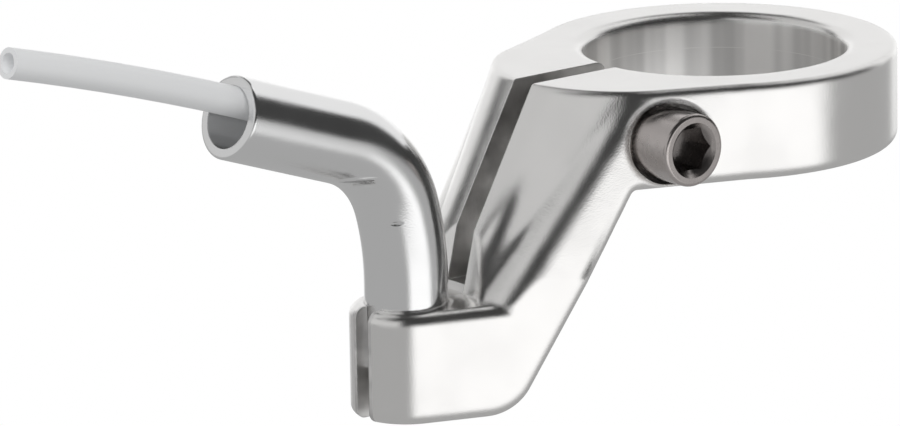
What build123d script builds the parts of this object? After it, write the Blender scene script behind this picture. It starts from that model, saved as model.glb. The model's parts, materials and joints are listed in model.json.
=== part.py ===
from build123d import *
import os
from math import cos, pi, radians, sin, tan

# Clamp-on cable guide for a front derailleur: a slotted clamp ring with a sloping arm, a slotted
# stop at the foot of the arm, an M5 clamp bolt with its washer, a bent guide tube and its liner.
# Millimetres. Z is the axis of the clamp bore, z = 0 the middle of the ring, the arm runs to -X.

# clamp ring
BORE_R = 15.9  # 31.8 mm seat tube
RING_WALL = 6.3
RING_H = 11.8
BORE_ROUND = 1.3
TOP_ROUND = 0.65

# arm and block
REACH = 25.6  # from the outside of the ring to the axis of the guide tube
BLOCK_R = 6.85
BLOCK_DROP = 23.85  # from the top face of the ring down to the top of the block
BLOCK_H = 13.55
NOSE_REACH = 7.55  # from the outside of the ring to the front of the nose, at the top face
BACK_INSET = 5.1  # back of the arm, carried up to the top face, inside the outside of the ring
LEAN = 29.0  # slope of the arm's front from the vertical, degrees
BACK_LEAN = 30.0
TOP_FLANK = 24.5  # angle of the flanks at the top face, degrees
FOOT_FLANK = 18.0  # and at the foot of the arm
FLANK_INSET = 0.2  # the flanks meet the ring this far inside a tangent
WAIST_ROUND = 25.0  # blend between a flank and the ring
NOSE_FLAT = 0.3  # the nose is this much flatter than a circle tangent to the flanks
NOSE_ROUND = 12.5
FOOT_FRONT_R = 40.0
FOOT_ROUND = 7.0
HEEL_R = 6.0
ROOT_R = 0.8
UNDER_ROUND = 1.2
BLOCK_ROUND = 1.4
LAP = 2.5  # the arm runs this far down inside the block

# slot, stop and relief for the guide tube
SLOT_W = 3.3
BRIDGE_T = 1.0  # left between the slot and the block
RELIEF_W = 14.4  # hollow in the front of the arm, beside the tube
RELIEF_DEPTH = 3.0
RELIEF_REACH = 7.3  # from the axis of the tube to its deepest line, at the top of the block
RELIEF_LEAN = 13.7
RELIEF_ROUND = 1.5
SLIT_W = 2.4
SEAT_DEPTH = 7.6
CABLE_HOLE_R = 2.1
CABLE_STEP = 1.0  # the liner ends this far above the seat

# M5 clamp bolt and washer
BOLT_WALL = 1.2  # left between the hole for the bolt and the bore
BOLT_Z = -0.52
SPOT_DEPTH = 2.73  # spot-face, below the flank on the axis of the bolt
SPOT_PLAY = 0.45  # round the washer
SHANK_R = 2.5
SHANK_L = 20.0
HOLE_PLAY = 0.25  # round the shank, in the washer and the near side of the arm
HEAD_R = 4.4
HEAD_H = 6.6
SOCKET_AF = 5.0
SOCKET_DEPTH = 3.2
SINK_R = 3.35  # mouth of the countersink round the socket
WASHER_R = 4.5
WASHER_T = 1.0

# guide tube and liner
TUBE_R = 5.0
TUBE_BORE_R = 3.75
FOOT_BEND_R = 35.0  # the bend starts gently
FOOT_BEND = 15.0
BEND_R = 13.5
BEND_ANGLE = 70.6  # of the whole bend
BEND_RISE = 2.85  # straight tube above the block
LEG_L = 16.6  # straight upper leg
LIP_ROUND = 0.35
LINER_R = 1.82
LINER_BORE_R = 1.2
LINER_FREE_L = 32.5
LINER_BEND_R = 390.0

RUNNING = 0.03  # clearance of the pieces that turn
RING_R = BORE_R + RING_WALL
ARM_X = -RING_R - REACH
NOSE_X = -RING_R - NOSE_REACH
CLEARANCE_R = SHANK_R + HOLE_PLAY
BOLT_X = -BORE_R - BOLT_WALL - CLEARANCE_R
TOP = RING_H / 2
BOTTOM = -TOP
BLOCK_TOP = TOP - BLOCK_DROP
BLOCK_BOTTOM = BLOCK_TOP - BLOCK_H
SEAT_Z = BLOCK_TOP - SEAT_DEPTH
SLOPE = tan(radians(LEAN))
UP = (Align.CENTER, Align.CENTER, Align.MIN)


def drill(x, y, z, radius, depth, axis):
    """A cylinder that starts at a point and runs along an axis."""
    return Plane((x, y, z), z_dir=axis) * Cylinder(radius, depth, align=UP)


def box(low, high):
    """A box from two opposite corners."""
    size = [b - a for a, b in zip(low, high)]
    return Pos(*low) * Box(*size, align=(Align.MIN, Align.MIN, Align.MIN))


def level_edges(shape, z):
    """The edges that lie in the plane at one height."""
    return [e for e in shape.edges()
            if abs(e.bounding_box().min.Z - z) < 1e-3 and abs(e.bounding_box().max.Z - z) < 1e-3]


def back_x(z):
    return BACK_INSET - RING_R - tan(radians(BACK_LEAN)) * (TOP - z)


def flank_y(x, angle):
    """Half the width of the arm at one x."""
    return (RING_R - FLANK_INSET) / cos(angle) + x * tan(angle)


def arm_plan(angle, front_x, front_r, corner_r):
    """The arm at one height: two flanks and a rounded front."""
    near, far = -RING_R * sin(angle), ARM_X - 2 * BLOCK_R
    wide, slim = flank_y(near, angle), flank_y(far, angle)
    wedge = Polygon((near, wide), (far, slim), (far, -slim), (near, -wide), align=None)
    flank_x = front_x + front_r * (1 - sin(angle))
    front = Pos(front_x + front_r, 0) * Circle(front_r) + Pos(flank_x / 2, 0) * Rectangle(-flank_x, 2 * wide)
    plan = wedge & front
    return fillet(plan.vertices().sort_by(Axis.X)[:2], corner_r)


def side_slab():
    """The side view of the arm and block, as a slab across Y."""
    front = ARM_X - 2 * BLOCK_R
    outline = Polygon((0, TOP), (front, TOP), (front, BLOCK_BOTTOM), (back_x(BLOCK_BOTTOM), BLOCK_BOTTOM),
                      (back_x(BOTTOM), BOTTOM), (0, BOTTOM), align=None)
    heel = outline.vertices().sort_by(Axis.Y)[:2].sort_by(Axis.X)[-1]
    return extrude(Plane.XZ * fillet(heel, HEEL_R), 2 * RING_R, both=True)


def blank():
    """Ring, arm and block in one piece, before the holes and slots."""
    ring = Pos(0, 0, BOTTOM) * Cylinder(RING_R, RING_H, align=UP)
    plan = make_hull([Pos(ARM_X, 0) * Circle(BLOCK_R).edge(), Circle(RING_R).edge()])
    lean_in = sin(radians(TOP_FLANK))
    nose_r = (RING_R - FLANK_INSET + NOSE_X * lean_in) / (1 - lean_in) + NOSE_FLAT
    nose = arm_plan(radians(TOP_FLANK), NOSE_X, nose_r, NOSE_ROUND)
    foot = arm_plan(radians(FOOT_FLANK), NOSE_X - SLOPE * BLOCK_DROP, FOOT_FRONT_R, FOOT_ROUND)
    arm = loft([Pos(0, 0, TOP) * nose, Pos(0, 0, BLOCK_TOP) * foot], ruled=True)
    arm += Pos(0, 0, BLOCK_TOP - LAP) * extrude(foot, LAP)
    arm &= Pos(0, 0, BLOCK_TOP - LAP) * extrude(plan, BLOCK_DROP + LAP)
    block = Pos(0, 0, BLOCK_BOTTOM) * extrude(plan, BLOCK_H)
    rim = [e for e in level_edges(block, BLOCK_TOP) if e.center().X < -1]
    return ring + ((arm + fillet(rim, BLOCK_ROUND)) & side_slab())


def is_under(edge):
    """The long chain under the ring, down the back of the arm and round the foot of the block."""
    limits = edge.bounding_box()
    lower = limits.max.Z < BOTTOM + 0.01
    lid = limits.min.Z > BLOCK_TOP - LAP and limits.max.Z < BLOCK_TOP + 0.01
    across = edge.geom_type == GeomType.LINE and limits.size.Y > 2 * BLOCK_R
    upright = limits.size.X < 0.01 and limits.size.Y < 0.01
    bore = edge.geom_type == GeomType.CIRCLE and limits.max.X < RING_R - 1 < limits.size.X
    return lower and not (lid or across or upright or bore)


def is_waist(edge):
    """The upright line where a flank runs into the ring."""
    limits = edge.bounding_box()
    place = edge.center()
    on_ring = abs(Vector(place.X, place.Y).length - RING_R) < FLANK_INSET
    return on_ring and place.X < 0 and limits.size.Z > RING_H / 2


def rounded_blank():
    """The blank with its edges rounded, in an order in which each round meets finished neighbours."""
    body = blank() - Cylinder(BORE_R, 3 * RING_H)
    body = fillet([e for e in body.edges() if is_waist(e)], WAIST_ROUND)
    body = fillet([e for e in level_edges(body, TOP) if e.bounding_box().max.X > RING_R - 1
                   or e.bounding_box().max.X < 0], TOP_ROUND)
    root = [e for e in level_edges(body, BOTTOM) if e.geom_type == GeomType.LINE and e.length > RING_R]
    body = fillet(root, ROOT_R)
    body = fillet([e for e in body.edges() if is_under(e)], UNDER_ROUND)
    rims = [e for e in body.edges().filter_by(GeomType.CIRCLE) if abs(e.radius - BORE_R) < 1e-6]
    return fillet(rims, BORE_ROUND)


def relief():
    """A shallow hollow that leans less than the arm, so that it deepens towards the block."""
    open_side = 2 * BLOCK_R
    section = Ellipse(RELIEF_DEPTH, RELIEF_W / 2)
    section += Pos(-open_side / 2, 0) * Rectangle(open_side, RELIEF_W)
    low_x = ARM_X + RELIEF_REACH - RELIEF_DEPTH
    high_x = low_x + tan(radians(RELIEF_LEAN)) * BLOCK_DROP
    return loft([Pos(low_x, 0, BLOCK_TOP) * section, Pos(high_x, 0, TOP) * section], ruled=True)


def clamp_body():
    body = rounded_blank()
    far = 3 * RING_R
    hollow = relief()
    body -= hollow
    rim = [e for e in body.edges() if hollow.distance_to(e @ 0.5) < 1e-4
           and e.center().Z > BLOCK_TOP + RELIEF_ROUND / 2]
    body = fillet(rim, RELIEF_ROUND)
    body -= box((-far, -SLOT_W / 2, BLOCK_TOP + BRIDGE_T), (-BORE_R / 2, SLOT_W / 2, far))
    body -= drill(ARM_X, 0, BLOCK_TOP, TUBE_R + RUNNING, SEAT_DEPTH, (0, 0, -1))
    body -= drill(ARM_X, 0, BLOCK_TOP, CABLE_HOLE_R, far, (0, 0, -1))
    body -= box((-far, -SLIT_W / 2, -far), (ARM_X, SLIT_W / 2, BLOCK_TOP))
    body -= drill(BOLT_X, spot_y(), BOLT_Z, WASHER_R + SPOT_PLAY, far, (0, -1, 0))
    body -= drill(BOLT_X, 0, BOLT_Z, CLEARANCE_R, far, (0, -1, 0))
    return body - drill(BOLT_X, 0, BOLT_Z, SHANK_R + RUNNING, far, (0, 1, 0))


def spot_y():
    """The floor of the spot-face."""
    return SPOT_DEPTH - flank_y(BOLT_X, radians(TOP_FLANK))


def washer():
    seat = drill(BOLT_X, spot_y(), BOLT_Z, WASHER_R, WASHER_T, (0, -1, 0))
    seat = chamfer(seat.edges().filter_by(GeomType.CIRCLE), 0.12)
    return seat - drill(BOLT_X, spot_y() + 1, BOLT_Z, CLEARANCE_R, 3 * WASHER_T, (0, -1, 0))


def clamp_bolt():
    seat = spot_y() - WASHER_T
    face = seat - HEAD_H
    head = drill(BOLT_X, seat, BOLT_Z, HEAD_R, HEAD_H, (0, -1, 0))
    rims = head.edges().filter_by(GeomType.CIRCLE).sort_by(Axis.Y)
    head = fillet(rims[0], 0.45)
    head = chamfer(head.edges().filter_by(GeomType.CIRCLE).sort_by(Axis.Y)[-1], 0.3)
    shank = drill(BOLT_X, seat - 1, BOLT_Z, SHANK_R, SHANK_L + 1, (0, 1, 0))
    shank = chamfer(shank.edges().filter_by(GeomType.CIRCLE).sort_by(Axis.Y)[-1], 0.6)
    mouth = Plane((BOLT_X, face, BOLT_Z), z_dir=(0, 1, 0))
    sink = mouth * Cone(SINK_R, 0.2, SINK_R - 0.2, align=UP)
    key = mouth * extrude(RegularPolygon(SOCKET_AF / 2, 6, major_radius=False, rotation=30), SOCKET_DEPTH)
    return head + shank - sink - key


def arc(start, from_angle, to_angle, radius):
    """An arc towards -X; the angles are those of its run to the vertical, in degrees."""
    a, b = radians(from_angle), radians(to_angle)

    def at(angle):
        return start + Vector(cos(angle) - cos(a), 0, sin(angle) - sin(a)) * radius

    return ThreePointArc(start, at((a + b) / 2), at(b))


def bend(offset, start_z):
    """The way of the guide tube, or of a line beside it, up to the mouth of the tube."""
    leg = Line((ARM_X + offset, 0, start_z), (ARM_X + offset, 0, BLOCK_TOP + BEND_RISE))
    lower = arc(leg @ 1, 0, FOOT_BEND, FOOT_BEND_R + offset)
    upper = arc(lower @ 1, FOOT_BEND, BEND_ANGLE, BEND_R + offset)
    return leg, lower, upper, Line(upper @ 1, upper @ 1 + (upper % 1) * LEG_L)


def pipe(path, radius, bore):
    """A tube along a path that starts straight up."""
    start = path[0] @ 0
    way = Wire([piece.edge() for piece in path])
    outer, inner = (sweep(Pos(start.X, start.Y, start.Z) * Circle(r), path=way) for r in (radius, bore))
    return outer - inner


def guide_tube():
    tube = pipe(bend(0, SEAT_Z + RUNNING), TUBE_R, TUBE_BORE_R)
    lips = tube.edges().filter_by(GeomType.CIRCLE).sort_by(Axis.X)
    lip = [e for e in lips[:4] if abs(e.radius - TUBE_R) < 1e-6]
    return fillet(lip[0], LIP_ROUND)


def liner():
    path = bend(TUBE_BORE_R - LINER_R - RUNNING, SEAT_Z + CABLE_STEP)
    turn = LINER_FREE_L / LINER_BEND_R * 180 / pi
    centre_side = (path[-1] % 1).rotate(Axis.Y, 90) * LINER_BEND_R
    mouth = path[-1] @ 1

    def out(part):
        return mouth - centre_side + centre_side.rotate(Axis.Y, -turn * part)

    return pipe((*path, ThreePointArc(mouth, out(0.5), out(1))), LINER_R, LINER_BORE_R)


def main():
    os.makedirs("parts", exist_ok=True)
    pieces = {
        "clamp_body": clamp_body(),
        "clamp_washer": washer(),
        "clamp_bolt": clamp_bolt(),
        "guide_tube": guide_tube(),
        "liner": liner(),
    }
    for name, piece in pieces.items():
        export_step(piece, f"parts/{name}.step")


main()
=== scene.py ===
import json
from math import cos, radians, sin

import bmesh
import bpy
from mathutils import Matrix, Vector


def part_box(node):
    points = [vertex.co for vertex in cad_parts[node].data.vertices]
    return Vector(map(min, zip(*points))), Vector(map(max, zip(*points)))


# Clamp-on cable guide for a front derailleur: polished aluminium clamp, steel bolt and washer,
# bent guide tube and its milky plastic liner, in a white studio. Metres, in the CAD frame.

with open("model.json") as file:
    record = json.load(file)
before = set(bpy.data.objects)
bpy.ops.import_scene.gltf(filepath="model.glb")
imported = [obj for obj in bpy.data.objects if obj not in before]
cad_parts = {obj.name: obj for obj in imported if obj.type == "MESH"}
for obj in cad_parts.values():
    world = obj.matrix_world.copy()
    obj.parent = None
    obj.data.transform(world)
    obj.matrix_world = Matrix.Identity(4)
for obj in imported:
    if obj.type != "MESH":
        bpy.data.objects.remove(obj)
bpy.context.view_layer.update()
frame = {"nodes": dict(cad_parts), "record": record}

MM = 0.001
RING_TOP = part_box("clamp_body")[1].z
BOLT_LOW, BOLT_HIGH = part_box("clamp_bolt")
BORE_R = frame["record"]["mounts"][0]["dims"]["r_mm"] * MM
SLOT_HALF = 1.65 * MM
# height of the thin bright line in the bore: a painted highlight along the turned tool mark
TOOL_MARK_HIGHLIGHT_Z = 1.6 * MM
BORE_REFLECTION_BANDS = 3.0  # how many light and dark bands of painted reflection the turned bore gets in a radian
SOCKET_R = 3.0 * MM
EDGE_ROUND = 1.1 * MM  # the clamp's edges are shaded as if rounded this far
CRISP_EDGE = 0.25 * MM  # and this far near its middle plane, where the slot is
TUBE_EDGE = 0.2 * MM
CLAMP_TONE = 0.9
BOLT_TONE = 0.56
# the tone of the painted shade in the screw's hexagon socket and on the shank
SOCKET_SHADE_TONE = 0.3
MILKY_GLOW = 0.1  # stands in for the light scattered inside the plastic

# creases and a dent in the tube's bend: middle, half sizes, and height (a dent is below 0), in mm
TUBE_MARKS = (
    ((-57.4, -3.4, -0.9), (4.0, 2.2, 0.5), 0.2),
    ((-56.2, -3.8, -1.7), (1.8, 2.0, 0.45), -0.2),
    ((-52.2, -4.2, -7.0), (1.1, 1.6, 0.4), -0.16),
)

# camera
LENS = 296.13  # on a 36 mm sensor
DISTANCE = 0.9
VIEW_AZIMUTH = radians(37.62)  # from -Y towards -X
VIEW_ELEVATION = radians(14.6)
VIEW_ROLL = radians(1.03)
AIM_LEFT = 0.03214  # the axis of the lens passes this far beside the middle of the ring's top
AIM_DOWN = 0.02067

# studio
WHITE = 1.0
DOME_R = 3.0
FILL_POWER = 7.0
FILL_SIZE = 0.8
FILL_PLACE = (-0.5, -0.6, 0.8)

# studio cards: azimuth to the right of the camera, elevation, half width, half height and blur in
# degrees, and how bright they are
TOP_TONE = 0.05
BOTTOM_TONE = 0.40
CARDS = {
    "left wall": (-67, 20, 55, 24, 7, 0.60),
    "left wall, high": (-112, 52, 34, 24, 8, 0.55),
    "back wall": (172, 18, 52, 22, 6, 0.84),
    "back wall, low": (175, -3, 30, 12, 5, 1.05),
    "right wall, high": (130, 60, 22, 22, 8, 0.95),
    "key light": (41, -13, 31, 15, 8, 1.12),
}


def camera():
    towards = Vector((-sin(VIEW_AZIMUTH) * cos(VIEW_ELEVATION), -cos(VIEW_AZIMUTH) * cos(VIEW_ELEVATION),
                      sin(VIEW_ELEVATION)))
    level = Vector((cos(VIEW_AZIMUTH), -sin(VIEW_AZIMUTH), 0))
    upright = towards.cross(level)
    right = cos(VIEW_ROLL) * level - sin(VIEW_ROLL) * upright
    up = sin(VIEW_ROLL) * level + cos(VIEW_ROLL) * upright
    place = Vector((0, 0, RING_TOP)) + towards * DISTANCE - right * AIM_LEFT - up * AIM_DOWN
    data = bpy.data.cameras.new("camera")
    data.lens = LENS
    data.clip_start = 0.05
    data.clip_end = 50
    obj = bpy.data.objects.new("camera", data)
    obj.matrix_world = Matrix.Translation(place) @ Matrix((right, up, towards)).transposed().to_4x4()
    bpy.context.scene.collection.objects.link(obj)
    bpy.context.scene.camera = obj


class Net:
    """Short ways to make and join shader nodes."""

    def __init__(self, tree):
        self.tree = tree
        tree.nodes.clear()

    def node(self, kind, inputs=None, **settings):
        made = self.tree.nodes.new("ShaderNode" + kind)
        for name, value in settings.items():
            setattr(made, name, value)
        for name, value in (inputs or {}).items():
            if isinstance(value, bpy.types.NodeSocket):
                self.tree.links.new(value, made.inputs[name])
            else:
                made.inputs[name].default_value = value
        return made

    def math(self, operation, *values):
        return self.node("Math", dict(enumerate(values)), operation=operation).outputs[0]

    def fade(self, value, start, end, low=0.0, high=1.0):
        """A smooth step from low at start to high at end."""
        inputs = {"Value": value, "From Min": start, "From Max": end, "To Min": low, "To Max": high}
        return self.node("MapRange", inputs, interpolation_type="SMOOTHSTEP").outputs["Result"]

    def mix(self, factor, a, b):
        """A blend of two numbers."""
        made = self.node("Mix", data_type="FLOAT")
        for socket, value in zip((made.inputs[0], made.inputs[2], made.inputs[3]), (factor, a, b)):
            if isinstance(value, bpy.types.NodeSocket):
                self.tree.links.new(value, socket)
            else:
                socket.default_value = value
        return made.outputs[0]

    def noise(self, vector, scale, detail=2.0):
        inputs = {"Vector": vector, "Scale": scale, "Detail": detail}
        return self.node("TexNoise", inputs).outputs[0]

    def dot(self, vector, axis):
        inputs = {0: vector, 1: axis}
        return self.node("VectorMath", inputs, operation="DOT_PRODUCT").outputs["Value"]

    def tinted(self, tone, tint):
        """A colour: the tint at the brightness of tone."""
        inputs = {0: tint, "Scale": tone}
        return self.node("VectorMath", inputs, operation="SCALE").outputs[0]

    def scaled(self, vector, scale):
        inputs = {0: vector, 1: scale}
        return self.node("VectorMath", inputs, operation="MULTIPLY").outputs[0]


def studio_world():
    """A dome with soft edged cards on it, which the metal mirrors."""
    world = bpy.data.worlds.new("studio")
    world.use_nodes = True
    bpy.context.scene.world = world
    net = Net(world.node_tree)
    direction = net.node("TexCoord").outputs["Generated"]
    split = net.node("SeparateXYZ", {0: direction}).outputs
    elevation = net.math("ARCSINE", split[2])
    tone = net.fade(elevation, radians(-6), radians(4), BOTTOM_TONE, TOP_TONE)
    for azimuth, height, half_width, half_height, blur, brightness in CARDS.values():
        turn = radians(azimuth) - VIEW_AZIMUTH
        ahead = (sin(turn), -cos(turn), 0)
        aside = (cos(turn), sin(turn), 0)
        along, across = (net.dot(direction, axis) for axis in (ahead, aside))
        sideways = net.math("ABSOLUTE", net.math("ARCTAN2", across, along))
        upwards = net.math("ABSOLUTE", net.math("SUBTRACT", elevation, radians(height)))
        in_width = net.fade(sideways, radians(half_width + blur), radians(half_width - blur))
        in_height = net.fade(upwards, radians(half_height + blur), radians(half_height - blur))
        mask = net.math("MULTIPLY", in_width, in_height)
        tone = net.mix(mask, tone, brightness)
    light = net.node("Background", {"Color": tone})
    net.node("OutputWorld", {"Surface": light.outputs[0]})


def glowing(name, strength):
    material = bpy.data.materials.new(name)
    material.use_nodes = True
    net = Net(material.node_tree)
    glow = net.node("Emission", {"Color": (1, 1, 1, 1), "Strength": strength})
    net.node("OutputMaterial", {"Surface": glow.outputs[0]})
    return material


def backdrop():
    """A plain white dome, which the camera sees and the object doesn't mirror."""
    data = bpy.data.meshes.new("dome")
    shape = bmesh.new()
    bmesh.ops.create_uvsphere(shape, u_segments=48, v_segments=24, radius=DOME_R)
    shape.to_mesh(data)
    shape.free()
    data.materials.append(glowing("dome_white", WHITE))
    obj = bpy.data.objects.new("dome", data)
    bpy.context.scene.collection.objects.link(obj)
    obj.visible_glossy = False
    obj.visible_diffuse = False
    obj.visible_shadow = False


def surface(name, colour, roughness, metallic=1.0):
    """A material with a Principled shader, and the net to add to it."""
    material = bpy.data.materials.new(name)
    material.use_nodes = True
    net = Net(material.node_tree)
    inputs = {"Base Color": (*colour, 1), "Roughness": roughness, "Metallic": metallic}
    shader = net.node("BsdfPrincipled", inputs)
    net.node("OutputMaterial", {"Surface": shader.outputs[0]})
    return material, net, shader


def join(net, shader, socket, value):
    net.tree.links.new(value, shader.inputs[socket])


def bump(net, height, depth, normal=None):
    """Height is 0 to 1 and depth is in metres."""
    inputs = {"Height": height, "Distance": depth, "Strength": 1.0}
    if normal is not None:
        inputs["Normal"] = normal
    return net.node("Bump", inputs).outputs[0]


def polish(net, place, grain_depth, wave_depth, edge_round):
    """The fine grain and the slow waves of a polished surface, and its edges shaded as rounded."""
    worn = net.node("Bevel", {"Radius": edge_round}, samples=6).outputs[0]
    grain = bump(net, net.noise(place, 5200, 2.0), grain_depth, worn)
    return bump(net, net.noise(place, 260, 1.0), wave_depth, grain)


def mark(net, place, centre, half_size):
    """1 in the middle of a small flaw and 0 outside it; millimetres."""
    offset = net.node("VectorMath", {0: place, 1: [v * MM for v in centre]}, operation="SUBTRACT").outputs[0]
    share = net.scaled(offset, [1 / (v * MM) for v in half_size])
    length = net.node("VectorMath", {0: share}, operation="LENGTH").outputs["Value"]
    return net.fade(length, 1.0, 0.0)


def bore_mask(net, x, y):
    """1 on the wall of the ring's bore and 0 elsewhere."""
    radius = net.math("SQRT", net.math("ADD", net.math("MULTIPLY", x, x), net.math("MULTIPLY", y, y)))
    return net.fade(radius, BORE_R + 0.12 * MM, BORE_R + 0.04 * MM)


def slot_mask(net, x, y):
    """1 on the walls of the slot and 0 elsewhere."""
    across = net.fade(net.math("ABSOLUTE", y), SLOT_HALF + 0.08 * MM, SLOT_HALF + 0.02 * MM)
    return net.math("MULTIPLY", across, net.fade(x, -BORE_R, -BORE_R - 0.5 * MM))


def clamp_normal(net, place, y, in_bore, in_slot):
    """Buffed outside, with turned lines in the bore and milled ones in the slot."""
    by_slot = net.fade(net.math("ABSOLUTE", y), SLOT_HALF + 1.6 * MM, SLOT_HALF + 0.4 * MM)
    edge_round = net.mix(by_slot, EDGE_ROUND, CRISP_EDGE)
    polished = polish(net, place, 0.012 * MM, 0.025 * MM, edge_round)
    turned = net.noise(net.scaled(place, (120, 120, 15000)), 1.0, 3.0)
    milled = net.noise(net.scaled(place, (6000, 300, 900)), 1.0, 2.0)
    lines = bump(net, net.math("MULTIPLY", turned, in_bore), 0.006 * MM, polished)
    return bump(net, net.math("MULTIPLY", milled, in_slot), 0.01 * MM, lines)


def clamp_tone_and_painted_light(net, place, split, in_bore, in_slot):
    """Painted reflections as light and dark bands round the bore, crossed by a painted highlight along the
    tool mark, and streaks in the slot, darker on average as painted shade.
    """
    x, y, z = split
    around = net.math("ARCTAN2", y, x)
    turn = net.node("CombineXYZ", {0: around}).outputs[0]
    # painted reflection: light and dark bands round the bore stand in for the streaked reflections of its
    # turned wall
    reflection_bands = net.fade(net.noise(turn, BORE_REFLECTION_BANDS), 0.4, 0.6, 0.7, 1.0)
    # painted highlight: a thin bright line at the tool mark's height
    from_mark_highlight = net.math("ABSOLUTE", net.math("SUBTRACT", z, TOOL_MARK_HIGHLIGHT_Z))
    bore_painted_light = net.math("MAXIMUM", reflection_bands, net.fade(from_mark_highlight, 0.10 * MM, 0.0))
    # streaks in the slot: random like milling, and darker on average than the outside as painted shade of
    # the narrow slot
    slot_streaks_and_shade = net.fade(net.noise(net.scaled(place, (260, 80, 260)), 1.0), 0.3, 0.7, 0.62, 0.95)
    return net.mix(in_slot, net.mix(in_bore, CLAMP_TONE, bore_painted_light), slot_streaks_and_shade)


def clamp_alloy():
    material, net, shader = surface("polished_clamp", (0.9, 0.89, 0.878), 0.14)
    place = net.node("TexCoord").outputs["Object"]
    split = net.node("SeparateXYZ", {0: place}).outputs
    x, y = split[0], split[1]
    in_bore = bore_mask(net, x, y)
    in_slot = slot_mask(net, x, y)
    join(net, shader, "Normal", clamp_normal(net, place, y, in_bore, in_slot))
    # the clamp's base colour carries painted reflections and a painted highlight in the bore, and painted
    # shade in the slot
    tone = clamp_tone_and_painted_light(net, place, split, in_bore, in_slot)
    join(net, shader, "Base Color", net.tinted(tone, (1.0, 0.989, 0.975)))
    outside = net.fade(net.noise(place, 120, 3.0), 0.3, 0.7, 0.15, 0.24)
    join(net, shader, "Roughness", net.mix(in_slot, net.mix(in_bore, outside, 0.42), 0.36))
    return material


def tube_metal():
    material, net, shader = surface("polished_tube", (0.9, 0.9, 0.9), 0.15)
    place = net.node("TexCoord").outputs["Object"]
    normal = polish(net, place, 0.012 * MM, 0.008 * MM, TUBE_EDGE)
    for centre, half_size, depth in TUBE_MARKS:
        normal = bump(net, mark(net, place, centre, half_size), depth * MM, normal)
    join(net, shader, "Normal", normal)
    join(net, shader, "Roughness", net.fade(net.noise(place, 150, 3.0), 0.3, 0.7, 0.13, 0.21))
    return material


def socket_shade_mask(net, place):
    """1 where painted shade darkens the screw's hexagon socket and the shank, which is within the same
    width, and 0 elsewhere.
    """
    x, y, z = net.node("SeparateXYZ", {0: place}).outputs
    middle = (BOLT_LOW + BOLT_HIGH) / 2
    aside = net.math("ABSOLUTE", net.math("SUBTRACT", x, middle.x))
    upwards = net.math("ABSOLUTE", net.math("SUBTRACT", z, middle.z))
    near_axis = net.fade(net.math("MAXIMUM", aside, upwards), SOCKET_R, SOCKET_R - 0.1 * MM)
    below_face = net.fade(y, BOLT_LOW.y + 0.1 * MM, BOLT_LOW.y + 0.6 * MM)
    return net.math("MULTIPLY", near_axis, below_face)


def bolt_steel():
    material, net, shader = surface("bolt_steel", (0.56, 0.52, 0.505), 0.2)
    place = net.node("TexCoord").outputs["Object"]
    in_socket_shade = socket_shade_mask(net, place)
    # painted shade darkens the hexagon socket and the shank
    join(net, shader, "Base Color", net.tinted(net.mix(in_socket_shade, BOLT_TONE, SOCKET_SHADE_TONE), (1.0, 0.93, 0.9)))
    drawn = net.noise(net.scaled(place, (5000, 250, 5000)), 1.0, 2.0)
    join(net, shader, "Normal", bump(net, drawn, 0.006 * MM))
    join(net, shader, "Roughness", net.fade(net.noise(place, 700, 3.0), 0.3, 0.7, 0.16, 0.3))
    return material


def washer_steel():
    material, net, shader = surface("washer_steel", (0.72, 0.70, 0.68), 0.22)
    place = net.node("TexCoord").outputs["Object"]
    join(net, shader, "Normal", bump(net, net.noise(place, 5000, 2.0), 0.008 * MM))
    return material


def liner_plastic():
    material, net, shader = surface("liner_plastic", (0.75, 0.755, 0.76), 0.32, 0.0)
    shader.inputs["IOR"].default_value = 1.36
    shader.inputs["Emission Color"].default_value = (0.97, 0.985, 1.0, 1)
    shader.inputs["Emission Strength"].default_value = MILKY_GLOW
    place = net.node("TexCoord").outputs["Object"]
    drawn = net.noise(net.scaled(place, (80, 2500, 700)), 1.0, 2.0)
    join(net, shader, "Normal", bump(net, drawn, 0.006 * MM))
    return material


def fill_light():
    """A soft light for what isn't metal; the metal doesn't mirror it."""
    data = bpy.data.lights.new("fill", "AREA")
    data.shape = "DISK"
    data.size = FILL_SIZE
    data.energy = FILL_POWER
    obj = bpy.data.objects.new("fill", data)
    obj.location = FILL_PLACE
    obj.rotation_euler = (-obj.location).to_track_quat("-Z", "Y").to_euler()
    obj.visible_glossy = False
    bpy.context.scene.collection.objects.link(obj)


def dress(node, material):
    data = frame["nodes"][node].data
    data.materials.clear()
    data.materials.append(material)


MATERIALS = {
    "clamp_body": clamp_alloy,
    "clamp_washer": washer_steel,
    "clamp_bolt": bolt_steel,
    "guide_tube": tube_metal,
    "liner": liner_plastic,
}

camera()
studio_world()
backdrop()
fill_light()
for node, make in MATERIALS.items():
    dress(node, make())
bpy.context.scene.view_settings.view_transform = "Standard"
